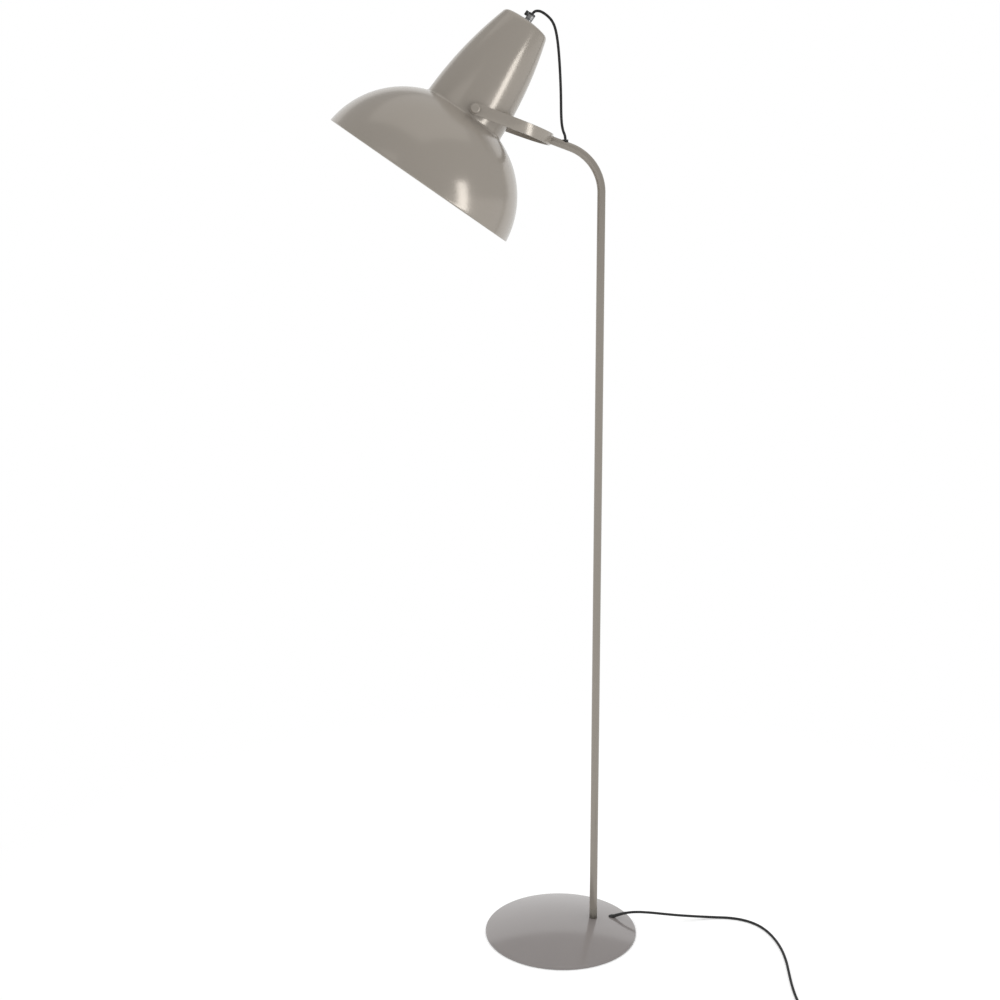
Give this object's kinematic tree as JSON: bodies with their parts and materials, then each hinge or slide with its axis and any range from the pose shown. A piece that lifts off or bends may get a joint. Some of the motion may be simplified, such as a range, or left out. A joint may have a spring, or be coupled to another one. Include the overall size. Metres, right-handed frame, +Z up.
{
  "type": "floor lamp",
  "caption": "Reading floor lamp: heavy round base, bent tube pole, fork with a tilting bell shade, cord and foot switch.",
  "frame": {"origin": "centre of the base's underside, on the floor", "axes": "+Z up along the pole, -X the way the arm carries the shade, +Y across the shade along its pivots"},
  "size_m": [0.727, 0.5883, 1.5211],
  "materials": {
    "taupe_enamel": "gloss",
    "shade_enamel": "gloss",
    "foot_enamel": "satin",
    "grip_grey": "satin",
    "raw_iron": "matte",
    "plated_steel": "satin",
    "brass": "satin",
    "thin_metal": "satin",
    "pad_felt": "matte",
    "black_plastic": "satin",
    "holder_plastic": "satin",
    "cord_jacket": "matte",
    "bulb_glass": "satin"
  },
  "bodies": {
    "stand": {"base_cover": "taupe_enamel", "base_weight": "raw_iron", "base_plate": "plated_steel", "base_screws": "plated_steel", "base_pad": "pad_felt", "pole": "taupe_enamel", "pole_socket": "foot_enamel", "pole_nut": "plated_steel", "arm_plug": "plated_steel", "arm_bush": "black_plastic", "fork": "taupe_enamel", "fork_saddle": "taupe_enamel", "fork_screw": "plated_steel", "exit_bush": "black_plastic", "inner_lead": "cord_jacket", "shade_cord": "cord_jacket", "mains_cord": "cord_jacket", "switch_base": "black_plastic", "switch_cover": "black_plastic", "switch_block": "holder_plastic", "switch_spring": "plated_steel", "switch_screws": "plated_steel", "link_cord": "cord_jacket", "cord_coil": "cord_jacket", "tail_cord": "cord_jacket", "plug_body": "black_plastic", "plug_pins": "brass"},
    "head": {"shade": "shade_enamel", "cord_grip": "grip_grey", "grip_screw": "black_plastic", "pivot_screw_near": "taupe_enamel", "pivot_screw_far": "taupe_enamel", "pivot_spacer_near": "taupe_enamel", "pivot_spacer_far": "taupe_enamel", "pivot_nut_near": "plated_steel", "pivot_nut_far": "plated_steel", "crown_nipple": "brass", "crown_nut": "plated_steel", "holder_cap": "plated_steel", "holder_body": "holder_plastic", "holder_contact": "brass", "holder_thread": "thin_metal", "bulb_glass": "bulb_glass", "bulb_cap": "thin_metal", "bulb_contact": "brass", "shade_lead": "cord_jacket"},
    "button": {"switch_button": "black_plastic"}
  },
  "joints": [
    {"name": "head_tilt", "type": "hinge", "parent": "stand", "child": "head", "pos_m": [-0.14537, 0.01383, 1.36723], "axis": [0, 1, 0], "range_deg": [-8, 45], "deforming": ["shade_cord"]},
    {"name": "switch_press", "type": "slide", "parent": "stand", "child": "button", "axis": [0, 0, -1], "range_m": [0, 0.0025], "stiffness_N_per_m": 400, "springref_m": -0.003, "deforming": ["switch_spring"]}
  ]
}
